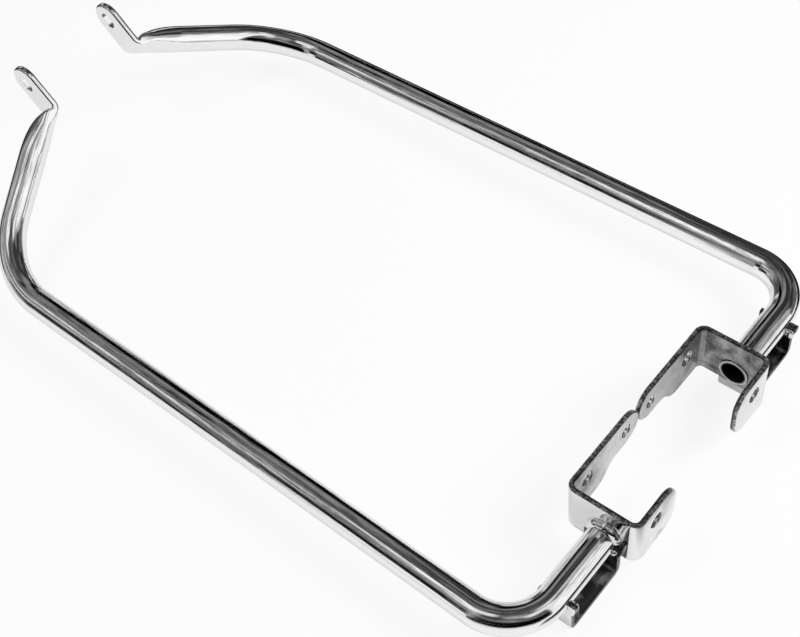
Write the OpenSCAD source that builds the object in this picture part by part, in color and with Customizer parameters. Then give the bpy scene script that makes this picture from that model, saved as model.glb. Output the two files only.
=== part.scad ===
// Pannier frame: a left and a right side arm for a motorbike's saddlebags.
// Each half is a chromed tube with a flattened front tab, a bent plate bracket,
// a bent strap clip under the tube and the weld beads that join them.
// Millimetres. X is right, Y is forward, Z is up, and X = 0 is the middle plane.
// The ground is Z = 0 and the origin is the middle of the base of the whole pair.

/* [Tube] */
// Outside diameter of the round tube
tube_d = 22.2; // [16:0.1:28]
// Wall thickness of the tube
tube_wall = 2; // [1.2:0.1:3]
// Radius of the rear bend on the tube's centre line
rear_bend_r = 37; // [30:0.5:45]
// Radius of the front bend on the tube's centre line
front_bend_r = 75; // [50:1:90]

/* [Layout] */
// From the middle plane to the outer face of each bracket's web
web_x = 83.7; // [80:0.1:110]
// From the web's outer face to the corner of the rear bend
rear_leg = 95; // [92:0.5:120]
// From the corner of the rear bend to the corner of the front bend
side_run = 516; // [350:1:600]
// Inward lean of the long side towards the front, in degrees
side_lean = 1; // [0:0.1:4]
// From the corner of the front bend to the fold of the tab
front_leg = 144; // [125:0.5:180]
// Angle between the front leg and the tab, in degrees
fold_angle = 57; // [40:0.5:70]
// Rise of the tab above the level, in degrees
tab_rise = 46.4; // [30:0.2:60]

/* [Tab] */
// Width of the flattened tab
tab_width = 28.8; // [24:0.2:34]
// From the fold to the tip of the tab
tab_length = 43; // [38:0.5:55]
// From the fold to the middle of the slot
slot_at = 28; // [24:0.5:30]
// End-to-end length of the slot
slot_length = 14.5; // [12:0.5:17]
// Width of the slot
slot_width = 10; // [6:0.5:11]
// Inside radius of the fold
fold_r = 3; // [2:0.5:5]
// Length over which the round tube is pressed flat
flatten_run = 40; // [30:1:50]
// How far the flat lies below the tube's centre line
flat_drop = 4.6; // [0:0.2:5]

/* [Bracket] */
// Plate thickness of the bracket
plate = 4; // [3:0.1:5]
// Outside radius of the bracket's two bends
plate_bend_r = 8; // [6:0.5:10]
// Front face of the strap, ahead of the tube's centre line
strap_front = 32; // [28:0.5:40]
// Rear face of the short lug, behind the tube's centre line
lug_rear = 26; // [24:0.5:34]
// Top edge of the plate above the tube's centre line
plate_up = 31; // [26:0.5:36]
// Bottom edge of the plate below the tube's centre line
plate_down = 12.5; // [12.5:0.5:18]
// End radius and half width of the strap's narrow part
strap_end_r = 15; // [12:0.5:17]
// From the web's outer face to where the strap starts to narrow
strap_wide = 36.5; // [34:0.5:38]
// Bolt hole diameter near the strap's tip
tip_hole_d = 10.5; // [6:0.5:13]
// From the web's outer face to the bolt holes by the web
web_hole_in = 22.5; // [20:0.5:26]
// Bolt hole diameter by the web, in strap and lug
web_hole_d = 12; // [6:0.5:14]
// From the web's outer face to the tip of the short lug
lug_reach = 46; // [42:0.5:55]
// Radius of the lug's two corners
lug_corner_r = 14.5; // [8:0.5:16]

/* [Clip] */
// Strip thickness of the clip
strip = 4; // [3:0.1:5]
// Length of the clip along the tube, over both flanges
clip_length = 57; // [50:0.5:57]
// Underside of the clip below the tube's centre line
clip_down = 31.3; // [28:0.1:40]
// Rear edge of the strip behind the tube's centre line
clip_rear = 14; // [13.5:0.5:16]
// Front edge of the strip ahead of the tube's centre line
clip_front = 13; // [12.8:0.1:16]
// Radius of the saddle's ear around the tube
ear_r = 17; // [16.5:0.5:19]
// Outside radius of the clip's two bends
strip_bend_r = 7; // [6:0.5:9]

/* [Joints] */
// Leg of the weld bead against the web
web_bead = 5; // [3:0.5:5.5]
// Leg of the weld beads against the saddles
saddle_bead = 3.5; // [2:0.5:4]
// Radial room between the tube and the holes it passes through
tube_room = 0.15; // [0.1:0.05:0.3]
// Space between the two strap tips at the middle plane
tip_space = 0.4; // [0.2:0.1:4]

/* [Hidden] */
$fn = 72;
tube_r = tube_d / 2;
bore_r = tube_r - tube_wall;
tab_thick = 2.2 * tube_wall;
hole_r = tube_r + tube_room;
end_out = 1;
saddle_top = 0.18 * tube_r;

// Directions of the long side, the front leg, the tab's width and the flat's underside
side_dir = [-sin(side_lean), cos(side_lean), 0];
leg_dir = [-sin(fold_angle), cos(fold_angle) * cos(tab_rise), cos(fold_angle) * sin(tab_rise)];
wide_dir = [0, sin(tab_rise), -cos(tab_rise)];
under_dir = cross(leg_dir, wide_dir);
tab_dir = [0, cos(tab_rise), sin(tab_rise)];

// The rear bend turns in the level plane, the front bend in a tilted one
rear_turn = 90 + side_lean;
rear_cut = rear_bend_r * tan(rear_turn / 2);
front_turn = acos(side_dir * leg_dir);
front_cut = front_bend_r * tan(front_turn / 2);
rear_corner = [rear_leg, 0, 0];
front_corner = rear_corner + side_run * side_dir;
in_dir = (leg_dir - (leg_dir * side_dir) * side_dir) / sin(front_turn);
front_bend_at = front_corner - front_cut * side_dir + front_bend_r * in_dir;

// The fold: radius of its middle surface, where it starts, and the tab beyond it
fold_mid = fold_r + tab_thick / 2;
fold_cut = fold_mid * tan(fold_angle / 2);
fold_at = front_corner + (front_leg - fold_cut) * leg_dir;
fold_axis = fold_at + (flat_drop - fold_mid) * under_dir;
tab_start = fold_axis + fold_mid * (cos(fold_angle) * under_dir + sin(fold_angle) * leg_dir);
tip_centre = tab_start + (tab_length - fold_cut - tab_width / 2) * tab_dir;

// The whole pair is moved so that the origin is the middle of its base
y_front = tip_centre[1] + tab_width / 2;
y_back = -lug_rear;
y_shift = -(y_front + y_back) / 2;
z_shift = clip_down;

// Bracket heights from the tube's centre line
strap_reach = web_x - tip_space / 2;
strap_mid = plate_up - strap_end_r;
strap_low = strap_mid - strap_end_r;
step = strap_low + plate_down;
step_run = 1.3 * step;
step_r = (step_run * step_run + step * step) / (4 * step);
hole_up = strap_mid - 1.2;

// Puts a half, drawn outwards from its web's outer face, on its own side
module half(side) {
    translate([0, y_shift, z_shift])
        mirror([side < 0 ? 1 : 0, 0, 0])
            translate([web_x, 0, 0])
                children();
}

// Moves a shape into the axes x, y and z at a point
module frame_at(x, y, z, at) {
    multmatrix([
        [x[0], y[0], z[0], at[0]],
        [x[1], y[1], z[1], at[1]],
        [x[2], y[2], z[2], at[2]],
        [0, 0, 0, 1]
    ])
        children();
}

// Round run of the tube at radius r, from the rear end to the start of the flattening.
// A hair-thin collar over each change of run keeps the runs one solid.
module round_run(r, extra) {
    translate([-plate - end_out - extra, 0, 0])
        rotate([0, 90, 0])
            cylinder(h = rear_leg - rear_cut + plate + end_out + extra, r = r);
    translate([rear_leg - rear_cut, rear_bend_r, 0])
        rotate([0, 0, -90])
            rotate_extrude(angle = rear_turn)
                translate([rear_bend_r, 0])
                    circle(r = r);
    translate(rear_corner + rear_cut * side_dir)
        rotate([-90, 0, side_lean])
            cylinder(h = side_run - rear_cut - front_cut, r = r);
    frame_at(-in_dir, side_dir, cross(side_dir, in_dir), front_bend_at)
        rotate_extrude(angle = front_turn)
            translate([front_bend_r, 0])
                circle(r = r);
    frame_at(wide_dir, under_dir, leg_dir, front_corner + front_cut * leg_dir)
        cylinder(h = front_leg - front_cut - fold_cut - flatten_run, r = r);
    translate([rear_leg - rear_cut, 0, 0])
        rotate([0, 90, 0])
            collar(r);
    translate(rear_corner + rear_cut * side_dir)
        rotate([-90, 0, side_lean])
            collar(r);
    translate(front_corner - front_cut * side_dir)
        rotate([-90, 0, side_lean])
            collar(r);
    frame_at(wide_dir, under_dir, leg_dir, front_corner + front_cut * leg_dir)
        collar(r);
}

module collar(r) {
    translate([0, 0, -0.05])
        cylinder(h = 0.1, r = r + 0.02);
}

// Half height, half width and drop of the pressed section, t from round (0) to flat (1)
function press_h(t) = tab_thick / 2 + (tube_r - tab_thick / 2) * sqrt(1 - t * t);
function press_w(t) = tube_r + (tab_width / 2 - tube_r) * (1 - (1 - t) * (1 - t));
function press_drop(t) = flat_drop * (1 - sqrt(1 - t * t));
function press_power(t) = 2 / (2 + 8 * t * t * t);
function signed_power(v, p) = sign(v) * pow(abs(v), p);

// One ring of the pressed section, inset by the wall for the cavity
function press_ring(t, inset, count) = [
    for (i = [0 : count - 1])
        let (a = 360 * (i + 0.5) / count)
            [
                (press_w(t) - inset) * signed_power(cos(a), press_power(t)),
                press_drop(t) + max(press_h(t) - inset, 0.2) * signed_power(sin(a), press_power(t)),
                flatten_run * (t - 1)
            ]
];

// Loft through the pressed sections from t = 0 to t = last
module pressed(inset, last) {
    count = 40;
    rings = 12;
    points = [
        for (k = [0 : rings])
            each press_ring(last * sin(90 * k / rings), inset, count)
    ];
    sides = [
        for (k = [0 : rings - 1])
            for (i = [0 : count - 1])
                let (j = (i + 1) % count)
                    each [
                        [k * count + i, (k + 1) * count + i, (k + 1) * count + j],
                        [k * count + i, (k + 1) * count + j, k * count + j]
                    ]
    ];
    start_cap = [[for (i = [0 : count - 1]) i]];
    end_cap = [[for (i = [0 : count - 1]) (rings + 1) * count - 1 - i]];
    frame_at(wide_dir, under_dir, leg_dir, fold_at)
        polyhedron(points = points, faces = concat(sides, start_cap, end_cap), convexity = 4);
}

// The flat's fold and the slotted tab beyond it, with a thin band over each end of the fold
module folded_tab() {
    frame_at(under_dir, leg_dir, wide_dir, fold_axis) {
        rotate_extrude(angle = fold_angle)
            translate([fold_r, -tab_width / 2])
                square([tab_thick, tab_width]);
        flat_band();
        rotate([0, 0, fold_angle]) {
            flat_band();
            translate([fold_r, 0, 0])
                rotate([90, 0, 90])
                    linear_extrude(tab_thick)
                        tab_outline();
        }
    }
}

module flat_band() {
    translate([fold_r - 0.02, -0.05, -tab_width / 2 - 0.02])
        cube([tab_thick + 0.04, 0.1, tab_width + 0.04]);
}

// Outline of the tab from the end of the fold, with its slot
module tab_outline() {
    run = tab_length - fold_cut - tab_width / 2;
    mid = slot_at - fold_cut;
    half = (slot_length - slot_width) / 2;
    difference() {
        union() {
            translate([0, -tab_width / 2])
                square([run, tab_width]);
            translate([run, 0])
                circle(d = tab_width);
        }
        translate([mid - half, -slot_width / 2])
            square([2 * half, slot_width]);
        translate([mid - half, 0])
            circle(d = slot_width);
        translate([mid + half, 0])
            circle(d = slot_width);
    }
}

// The tube of one half: round run, pressed end, fold and tab, open at its rear end
module arm_tube() {
    difference() {
        union() {
            round_run(tube_r, 0);
            pressed(0, 1);
            folded_tab();
            frame_at(wide_dir, under_dir, leg_dir, fold_at - flatten_run * leg_dir)
                collar(tube_r);
        }
        round_run(bore_r, 1);
        pressed(tube_wall, 0.97);
        frame_at(wide_dir, under_dir, leg_dir, fold_at - flatten_run * leg_dir)
            collar(bore_r);
    }
}

// Plan of the bracket: a channel that opens inwards, with rounded bends
module bracket_plan() {
    inner_r = plate_bend_r - plate;
    depth = strap_front + lug_rear;
    difference() {
        union() {
            translate([-strap_reach, -lug_rear])
                square([strap_reach - plate_bend_r, depth]);
            translate([-plate_bend_r, plate_bend_r - lug_rear])
                square([plate_bend_r, depth - 2 * plate_bend_r]);
            translate([-plate_bend_r, strap_front - plate_bend_r])
                circle(r = plate_bend_r);
            translate([-plate_bend_r, plate_bend_r - lug_rear])
                circle(r = plate_bend_r);
        }
        translate([-strap_reach - 1, plate - lug_rear])
            square([strap_reach + 1 - plate_bend_r, depth - 2 * plate]);
        translate([-plate_bend_r - 1, plate_bend_r - lug_rear])
            square([inner_r + 1, depth - 2 * plate_bend_r]);
        translate([-plate_bend_r, strap_front - plate_bend_r])
            circle(r = inner_r);
        translate([-plate_bend_r, plate_bend_r - lug_rear])
            circle(r = inner_r);
    }
}

// Side outline of the web and the long strap, seen from the front
module strap_outline() {
    mid_step = strap_wide + step_run / 2;
    translate([-strap_wide, -plate_down])
        square([strap_wide, plate_up + plate_down]);
    intersection() {
        translate([-strap_wide, step_r - plate_down])
            circle(r = step_r);
        translate([-mid_step, -plate_down])
            square([step_run / 2, step_r]);
    }
    translate([-mid_step, step_r - plate_down])
        square([step_run / 2, plate_up + plate_down - step_r]);
    difference() {
        translate([-strap_wide - step_run, strap_low - step / 2])
            square([step_run / 2, plate_up - strap_low + step / 2]);
        translate([-strap_wide - step_run, strap_low - step_r])
            circle(r = step_r);
    }
    translate([strap_end_r - strap_reach, strap_low])
        square([strap_reach - strap_end_r - strap_wide - step_run, 2 * strap_end_r]);
    translate([strap_end_r - strap_reach, strap_mid])
        circle(r = strap_end_r);
}

// Side outline of the web and the short lug
module lug_outline() {
    translate([-lug_reach, lug_corner_r - plate_down])
        square([lug_reach, plate_up + plate_down - 2 * lug_corner_r]);
    translate([lug_corner_r - lug_reach, -plate_down])
        square([lug_reach - lug_corner_r, plate_up + plate_down]);
    translate([lug_corner_r - lug_reach, plate_up - lug_corner_r])
        circle(r = lug_corner_r);
    translate([lug_corner_r - lug_reach, lug_corner_r - plate_down])
        circle(r = lug_corner_r);
}

// The bracket of one half: one bent plate with its bolt holes and the tube's hole
module bracket() {
    difference() {
        intersection() {
            translate([0, 0, -plate_down])
                linear_extrude(plate_up + plate_down)
                    bracket_plan();
            union() {
                translate([0, strap_front + 1, 0])
                    rotate([90, 0, 0])
                        linear_extrude(strap_front + 1)
                            strap_outline();
                rotate([90, 0, 0])
                    linear_extrude(lug_rear + 1)
                        lug_outline();
            }
        }
        translate([-plate - 1, 0, 0])
            rotate([0, 90, 0])
                cylinder(h = plate + 2, r = hole_r);
        translate([strap_end_r - strap_reach, strap_front + 1, strap_mid])
            rotate([90, 0, 0])
                cylinder(h = plate + 2, d = tip_hole_d);
        translate([-web_hole_in, strap_front + 1, hole_up])
            rotate([90, 0, 0])
                cylinder(h = strap_front + lug_rear + 2, d = web_hole_d);
    }
}

// Side of the clip: a channel open at the top, with rounded bends
module clip_side() {
    inner_r = strip_bend_r - strip;
    difference() {
        union() {
            translate([0, strip_bend_r - clip_down])
                square([clip_length, clip_down + saddle_top - strip_bend_r]);
            translate([strip_bend_r, -clip_down])
                square([clip_length - 2 * strip_bend_r, strip_bend_r]);
            translate([strip_bend_r, strip_bend_r - clip_down])
                circle(r = strip_bend_r);
            translate([clip_length - strip_bend_r, strip_bend_r - clip_down])
                circle(r = strip_bend_r);
        }
        translate([strip, strip_bend_r - clip_down])
            square([clip_length - 2 * strip, clip_down + saddle_top]);
        translate([strip_bend_r, strip - clip_down])
            square([clip_length - 2 * strip_bend_r, strip_bend_r]);
        translate([strip_bend_r, strip_bend_r - clip_down])
            circle(r = inner_r);
        translate([clip_length - strip_bend_r, strip_bend_r - clip_down])
            circle(r = inner_r);
    }
}

// End outline of the clip: the strip, with an ear behind the tube
module clip_end() {
    translate([-clip_rear, -clip_down])
        square([clip_rear + clip_front, clip_down + saddle_top]);
    intersection() {
        circle(r = ear_r);
        translate([-ear_r, -ear_r])
            square([ear_r + clip_front, ear_r + saddle_top]);
    }
}

// The clip of one half: one bent strip whose two flanges cradle the tube
module clip() {
    difference() {
        intersection() {
            translate([0, ear_r + 1, 0])
                rotate([90, 0, 0])
                    linear_extrude(2 * ear_r + 2)
                        clip_side();
            translate([-1, 0, 0])
                rotate([90, 0, 90])
                    linear_extrude(clip_length + 2)
                        clip_end();
        }
        translate([-1, 0, 0])
            rotate([0, 90, 0])
                cylinder(h = clip_length + 2, r = hole_r);
    }
}

// Weld bead round the tube at x, from one angle to another, leaning to dir
module bead(x, dir, leg, from, to) {
    translate([x, 0, 0])
        rotate([90, 0, 90])
            rotate([0, 0, from])
                rotate_extrude(angle = to - from)
                    intersection() {
                        translate([tube_r, 0])
                            circle(r = leg);
                        translate([tube_r, dir < 0 ? -leg : 0])
                            square([leg, leg]);
                    }
}

// The weld beads of one half: over the tube at the web, under it at both saddles
module welds() {
    bead(0, 1, web_bead, 13, 167);
    bead(strip, 1, saddle_bead, 192, 318);
    bead(clip_length - strip, -1, saddle_bead, 192, 318);
}

module left_tube() {
    color([0.86, 0.87, 0.88])
        half(-1)
            arm_tube();
}

module left_bracket() {
    color([0.80, 0.81, 0.82])
        half(-1)
            bracket();
}

module left_clip() {
    color([0.74, 0.75, 0.76])
        half(-1)
            clip();
}

module left_welds() {
    color([0.68, 0.68, 0.69])
        half(-1)
            welds();
}

module right_tube() {
    color([0.86, 0.87, 0.88])
        half(1)
            arm_tube();
}

module right_bracket() {
    color([0.80, 0.81, 0.82])
        half(1)
            bracket();
}

module right_clip() {
    color([0.74, 0.75, 0.76])
        half(1)
            clip();
}

module right_welds() {
    color([0.68, 0.68, 0.69])
        half(1)
            welds();
}

left_tube();
left_bracket();
left_clip();
left_welds();
right_tube();
right_bracket();
right_clip();
right_welds();
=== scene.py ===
# Pannier frame for a motorbike: a left and a right side rail that carry saddlebags.
# Metres, in the frame of the CAD model: X right, Y forward, Z up, ground at Z = 0.
import bpy
import bmesh
from math import acos, atan2, cos, degrees, pi, radians, sin, sqrt, tan
from mathutils import Matrix, Vector


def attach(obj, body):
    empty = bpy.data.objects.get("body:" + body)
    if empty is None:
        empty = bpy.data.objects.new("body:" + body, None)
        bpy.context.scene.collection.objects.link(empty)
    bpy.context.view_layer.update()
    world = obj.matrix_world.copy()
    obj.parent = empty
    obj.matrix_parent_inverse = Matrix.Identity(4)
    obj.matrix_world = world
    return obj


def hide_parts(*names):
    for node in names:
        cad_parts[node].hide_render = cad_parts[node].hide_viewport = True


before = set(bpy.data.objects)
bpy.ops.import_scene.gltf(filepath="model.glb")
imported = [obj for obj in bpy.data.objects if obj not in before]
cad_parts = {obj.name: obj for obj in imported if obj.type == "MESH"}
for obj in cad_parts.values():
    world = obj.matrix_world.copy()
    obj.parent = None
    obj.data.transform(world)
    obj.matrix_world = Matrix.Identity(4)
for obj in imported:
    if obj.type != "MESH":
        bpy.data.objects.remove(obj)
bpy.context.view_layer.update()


# The two rails, each one length of 22.2 mm chromed steel tube, 2 mm in the wall. It is
# bent twice, pressed flat at the front, folded there into an upright tab and slotted. The
# rear end stays open and stands 1 mm proud inside its bracket.

TUBE_R = 0.0111
TUBE_WALL = 0.002
WEB_X = 0.0837
TUBE_Z = 0.0313
TUBE_Y = -0.287735
MOUTH_IN = 0.005

REAR_LEG = 0.095
REAR_BEND = 0.037
SIDE_RUN = 0.516
SIDE_LEAN = radians(1)
FRONT_LEG = 0.144
FRONT_BEND = 0.075

FOLD_ANGLE = radians(57)
FOLD_INSIDE = 0.003
TAB_RISE = radians(46.4)
TAB_WIDTH = 0.0288
TAB_THICK = 0.0054
TAB_LENGTH = 0.043
SLOT_AT = 0.028
SLOT_LENGTH = 0.0145
SLOT_WIDTH = 0.010
PUNCH_REACH = 0.006
PRESS_RUN = 0.040
PRESS_DROP = 0.0046

# How softly the tube starts to widen under the press, the share of the press run after which
# its oval turns into a flat bar, and how square the bar's rim is (2 would be round).
WIDEN_POWER = 1.4
FLAT_FROM = 0.62
RIM_POWER = 3.5

# The share of the press run that the bore reaches into, and the gap that is left where it closes.
BORE_REACH = 0.97
BORE_LEAST = 0.0002

side_dir = Vector((-sin(SIDE_LEAN), cos(SIDE_LEAN), 0))
leg_dir = Vector((-sin(FOLD_ANGLE), cos(FOLD_ANGLE) * cos(TAB_RISE), cos(FOLD_ANGLE) * sin(TAB_RISE)))
tab_dir = Vector((0, cos(TAB_RISE), sin(TAB_RISE)))
wide_dir = Vector((0, sin(TAB_RISE), -cos(TAB_RISE)))
fold_mid = FOLD_INSIDE + TAB_THICK / 2
fold_cut = fold_mid * tan(FOLD_ANGLE / 2)


def turned(vector, axis, angle):
    return Matrix.Rotation(angle, 3, axis) @ vector


def rail_line():
    """Points of the tube's centre line, from the open rear end to the tip of the tab.

    Each is (point, tangent, width direction, length along the line)."""
    start = Vector((WEB_X - MOUTH_IN, TUBE_Y, TUBE_Z))
    line = [[start, Vector((1, 0, 0)), None, 0.0]]

    def straight(length, steps):
        point, tangent, _, along = line[-1]
        for k in range(1, steps + 1):
            step = length * k / steps
            line.append([point + tangent * step, tangent, None, along + step])

    def closing(length, steps):
        """Straight on, with the points closer and closer together."""
        point, tangent, _, along = line[-1]
        for k in range(1, steps + 1):
            step = length * sin(pi / 2 * k / steps)
            line.append([point + tangent * step, tangent, None, along + step])

    def bend(radius, angle, axis, steps):
        point, tangent, _, along = line[-1]
        centre = point + radius * axis.cross(tangent)
        for k in range(1, steps + 1):
            turn = angle * k / steps
            arm = turned(point - centre, axis, turn)
            line.append([centre + arm, turned(tangent, axis, turn), None, along + radius * turn])

    rear_turn = pi / 2 + SIDE_LEAN
    front_axis = side_dir.cross(leg_dir).normalized()
    front_turn = acos(side_dir.dot(leg_dir))
    rear_cut = REAR_BEND * tan(rear_turn / 2)
    front_cut = FRONT_BEND * tan(front_turn / 2)
    straight(MOUTH_IN + REAR_LEG - rear_cut, 6)
    bend(REAR_BEND, rear_turn, Vector((0, 0, 1)), 60)
    straight(SIDE_RUN - rear_cut - front_cut, 24)
    bend(FRONT_BEND, front_turn, front_axis, 60)
    straight(FRONT_LEG - front_cut - fold_cut - PRESS_RUN, 4)
    press_start = line[-1][3]
    closing(PRESS_RUN, 48)
    bend(fold_mid - PRESS_DROP, FOLD_ANGLE, wide_dir, 20)
    straight(TAB_LENGTH - fold_cut - TAB_WIDTH / 2, 8)
    tip_start = line[-1][3]
    closing(TAB_WIDTH / 2, 32)

    line[-1][2] = wide_dir.copy()
    for k in range(len(line) - 2, -1, -1):
        ahead, here = line[k + 1], line[k]
        turn = ahead[1].rotation_difference(here[1])
        here[2] = turn @ ahead[2]
    return line, press_start, tip_start


def new_tree(name, sockets):
    """A geometry tree with a geometry input and output and the named number sockets."""
    tree = bpy.data.node_groups.new(name, "GeometryNodeTree")
    tree.interface.new_socket(name="Geometry", in_out="INPUT", socket_type="NodeSocketGeometry")
    for label, kind, value in sockets:
        socket = tree.interface.new_socket(name=label, in_out="INPUT", socket_type=kind)
        if value is not None:
            socket.default_value = value
    tree.interface.new_socket(name="Geometry", in_out="OUTPUT", socket_type="NodeSocketGeometry")
    return tree


class Wires:
    """Short ways to place and join nodes in one tree."""

    def __init__(self, tree):
        self.tree = tree

    def node(self, kind, inputs=None, **settings):
        made = self.tree.nodes.new(kind)
        for key, value in settings.items():
            setattr(made, key, value)
        self.feed(made, inputs or {})
        return made

    def feed(self, made, inputs):
        """Links sockets to a node's inputs, and sets plain values on them."""
        for key, value in inputs.items():
            if isinstance(value, bpy.types.NodeSocket):
                self.tree.links.new(value, made.inputs[key])
            else:
                made.inputs[key].default_value = value

    def math(self, operation, a, b=0.0, clamp=False):
        return self.node("ShaderNodeMath", {0: a, 1: b}, operation=operation, use_clamp=clamp).outputs[0]

    def plus(self, total, *others):
        for other in others:
            total = self.math("ADD", total, other)
        return total

    def minus(self, a, b):
        return self.math("SUBTRACT", a, b)

    def times(self, total, *others):
        for other in others:
            total = self.math("MULTIPLY", total, other)
        return total

    def ranged(self, value, low, high, to_low=0.0, to_high=1.0, way="LINEAR"):
        """A value carried over from one range to another, and held at its ends."""
        inputs = {"Value": value, "From Min": low, "From Max": high, "To Min": to_low, "To Max": to_high}
        return self.node("ShaderNodeMapRange", inputs, interpolation_type=way).outputs[0]

    def between(self, share, a, b):
        return self.node("ShaderNodeMix", {0: share, 2: a, 3: b}, data_type="FLOAT").outputs[0]

    def noise(self, place, scale, detail, roughness=0.5):
        inputs = {"Vector": place, "Scale": scale, "Detail": detail, "Roughness": roughness}
        return self.node("ShaderNodeTexNoise", inputs).outputs["Fac"]

    def vector(self, operation, a, b=(0, 0, 0), out="Vector"):
        return self.node("ShaderNodeVectorMath", {0: a, 1: b}, operation=operation).outputs[out]

    def scaled(self, a, scale):
        made = self.node("ShaderNodeVectorMath", {0: a, "Scale": scale}, operation="SCALE")
        return made.outputs["Vector"]

    def parts(self, a):
        return self.node("ShaderNodeSeparateXYZ", {0: a}).outputs

    def joined(self, **parts):
        return self.node("ShaderNodeCombineXYZ", parts).outputs[0]

    def stored(self, name, kind):
        made = self.node("GeometryNodeInputNamedAttribute", {"Name": name}, data_type=kind)
        return made.outputs["Attribute"]

    def settle(self, geometry, place, finish):
        """A tree's last nodes: its points in place, no instances left, and the finish on."""
        moved = self.node("GeometryNodeSetPosition", {"Geometry": geometry, "Position": place}).outputs[0]
        whole = self.node("GeometryNodeRealizeInstances", {"Geometry": moved}).outputs[0]
        done = self.node("GeometryNodeSetMaterial", {"Geometry": whole, "Material": finish}).outputs[0]
        self.node("NodeGroupOutput", {"Geometry": done})


def press_tree():
    """Sweeps a section along the rail: round at first, then pressed flat, then rounded off at the tip.

    The section goes from a circle through an oval to a flat bar with rounded corners."""
    tree = new_tree("pressed_rail", [
        ("Radius", "NodeSocketFloat", TUBE_R),
        ("Inset", "NodeSocketFloat", 0.0),
        ("Press start", "NodeSocketFloat", 0.0),
        ("Press run", "NodeSocketFloat", PRESS_RUN),
        ("Flat width", "NodeSocketFloat", TAB_WIDTH),
        ("Flat thickness", "NodeSocketFloat", TAB_THICK),
        ("Drop", "NodeSocketFloat", PRESS_DROP),
        ("Tip start", "NodeSocketFloat", 0.0),
        ("Points round", "NodeSocketInt", 112),
        ("Finish", "NodeSocketMaterial", None),
    ])
    w = Wires(tree)
    given = w.node("NodeGroupInput").outputs

    def remember(geometry, name, value):
        inputs = {"Geometry": geometry, "Name": name, "Value": value}
        made = w.node("GeometryNodeStoreNamedAttribute", inputs, data_type="FLOAT_VECTOR", domain="POINT")
        return made.outputs[0]

    def quarter(share):
        """Falls from 1 to 0 along a quarter of a circle."""
        return w.math("SQRT", w.math("MAXIMUM", w.minus(1.0, w.times(share, share)), 0.0))

    line = w.node("GeometryNodeMeshToCurve", {"Mesh": given["Geometry"]}).outputs[0]
    circle = w.node("GeometryNodeCurvePrimitiveCircle", {"Resolution": given["Points round"], "Radius": 1.0})
    place = w.node("GeometryNodeInputPosition").outputs[0]
    ring = remember(circle.outputs[0], "round_place", place)
    centre = remember(line, "centre", place)
    skin = w.node("GeometryNodeCurveToMesh", {"Curve": centre, "Profile Curve": ring}).outputs[0]

    along = w.stored("along", "FLOAT")
    wide = w.stored("wide", "FLOAT_VECTOR")
    under = w.vector("CROSS_PRODUCT", w.stored("tangent", "FLOAT_VECTOR"), wide)
    on_ring = w.parts(w.stored("round_place", "FLOAT_VECTOR"))

    pressed = w.math("DIVIDE", w.minus(along, given["Press start"]), given["Press run"], clamp=True)
    still_round = quarter(pressed)
    half_thick = w.times(given["Flat thickness"], 0.5)
    height = w.plus(half_thick, w.times(w.minus(given["Radius"], half_thick), still_round))
    height = w.math("MAXIMUM", w.minus(height, given["Inset"]), BORE_LEAST)
    still_narrow = w.minus(1.0, w.math("POWER", pressed, WIDEN_POWER))
    spread = w.minus(1.0, w.times(still_narrow, still_narrow))
    wider = w.minus(w.times(given["Flat width"], 0.5), given["Radius"])
    width = w.minus(w.plus(given["Radius"], w.times(wider, spread)), given["Inset"])
    drop = w.times(given["Drop"], w.minus(1.0, still_round))

    into_tip = w.math("DIVIDE", w.minus(along, given["Tip start"]), width, clamp=True)
    x = w.times(on_ring["X"], width, quarter(into_tip))
    ahead = w.times(into_tip, width)
    reach = w.math("SQRT", w.plus(w.times(x, x), w.times(ahead, ahead)))
    into_rim = w.math("DIVIDE", w.minus(reach, w.minus(width, height)), height, clamp=True)
    bar = w.math("SUBTRACT", 1.0, w.math("POWER", into_rim, RIM_POWER), clamp=True)
    bar = w.math("POWER", bar, 1 / RIM_POWER)
    oval = quarter(w.math("DIVIDE", reach, width))
    flat = w.ranged(pressed, FLAT_FROM, 1.0, way="SMOOTHSTEP")
    y = w.times(height, w.plus(oval, w.times(w.minus(bar, oval), flat)), w.math("SIGN", on_ring["Y"]))

    offset = w.vector("ADD", w.scaled(wide, x), w.scaled(under, w.plus(y, drop)))
    w.settle(skin, w.vector("ADD", w.stored("centre", "FLOAT_VECTOR"), offset), given["Finish"])
    return tree


def in_scene(name, data):
    """A new object of a mesh, lamp or camera, placed at the origin."""
    made = bpy.data.objects.new(name, data)
    bpy.context.scene.collection.objects.link(made)
    return made


def plain_mesh(holder):
    """The plain mesh that an object's modifiers make, with the object gone."""
    depsgraph = bpy.context.evaluated_depsgraph_get()
    depsgraph.update()
    result = bpy.data.meshes.new_from_object(holder.evaluated_get(depsgraph))
    bpy.data.objects.remove(holder)
    return result


def as_mesh(work, name):
    mesh = bpy.data.meshes.new(name)
    work.to_mesh(mesh)
    work.free()
    return mesh


def run_tree(mesh, tree, values, name):
    """The plain mesh that a tree makes of a mesh."""
    holder = in_scene(name, mesh)
    modifier = holder.modifiers.new("tree", "NODES")
    modifier.node_group = tree
    for item in tree.interface.items_tree:
        if item.in_out == "INPUT" and item.name in values:
            modifier[item.identifier] = values[item.name]
    return plain_mesh(holder)


def line_mesh(line):
    """The centre line as loose edges that carry what the tree reads."""
    mesh = bpy.data.meshes.new("rail_line")
    mesh.from_pydata([p[0] for p in line], [(k, k + 1) for k in range(len(line) - 1)], [])
    along = mesh.attributes.new("along", "FLOAT", "POINT")
    along.data.foreach_set("value", [p[3] for p in line])
    for name, index in (("tangent", 1), ("wide", 2)):
        layer = mesh.attributes.new(name, "FLOAT_VECTOR", "POINT")
        layer.data.foreach_set("vector", [c for p in line for c in p[index]])
    return mesh


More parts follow.
